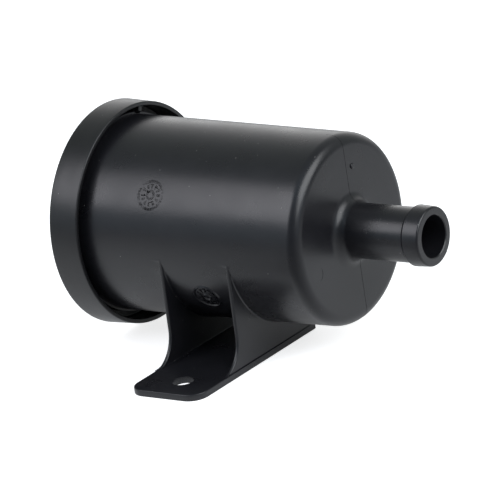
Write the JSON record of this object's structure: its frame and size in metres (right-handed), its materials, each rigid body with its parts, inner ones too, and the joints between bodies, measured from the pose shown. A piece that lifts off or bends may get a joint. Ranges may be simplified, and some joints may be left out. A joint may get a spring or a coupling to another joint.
{
  "type": "leak detection pump filter",
  "caption": "Plastic air filter canister with a skirted cover, a ring-shaped air inlet under the skirt, a beaded hose nipple and a side foot with a fixing hole.",
  "frame": {"origin": "centre of the fixing hole on the underside of the foot plate", "axes": "+X along the canister towards the hose nipple, +Z the normal of the foot plate, -Y towards the front of the foot where the hole is"},
  "size_m": [0.135, 0.1018, 0.0828],
  "materials": {
    "housing_plastic": "satin black moulded",
    "cover_plastic": "satin black moulded",
    "end_disc_plastic": "moulded",
    "filter_paper": "pleated filter paper",
    "tube_plastic": "moulded",
    "seal_rubber": "smooth"
  },
  "bodies": {
    "root": {"housing": "housing_plastic", "cover": "cover_plastic", "closed_end_disc": "end_disc_plastic", "open_end_disc": "end_disc_plastic", "filter_media": "filter_paper", "support_tube": "tube_plastic", "seal_ring": "seal_rubber"}
  },
  "joints": []
}
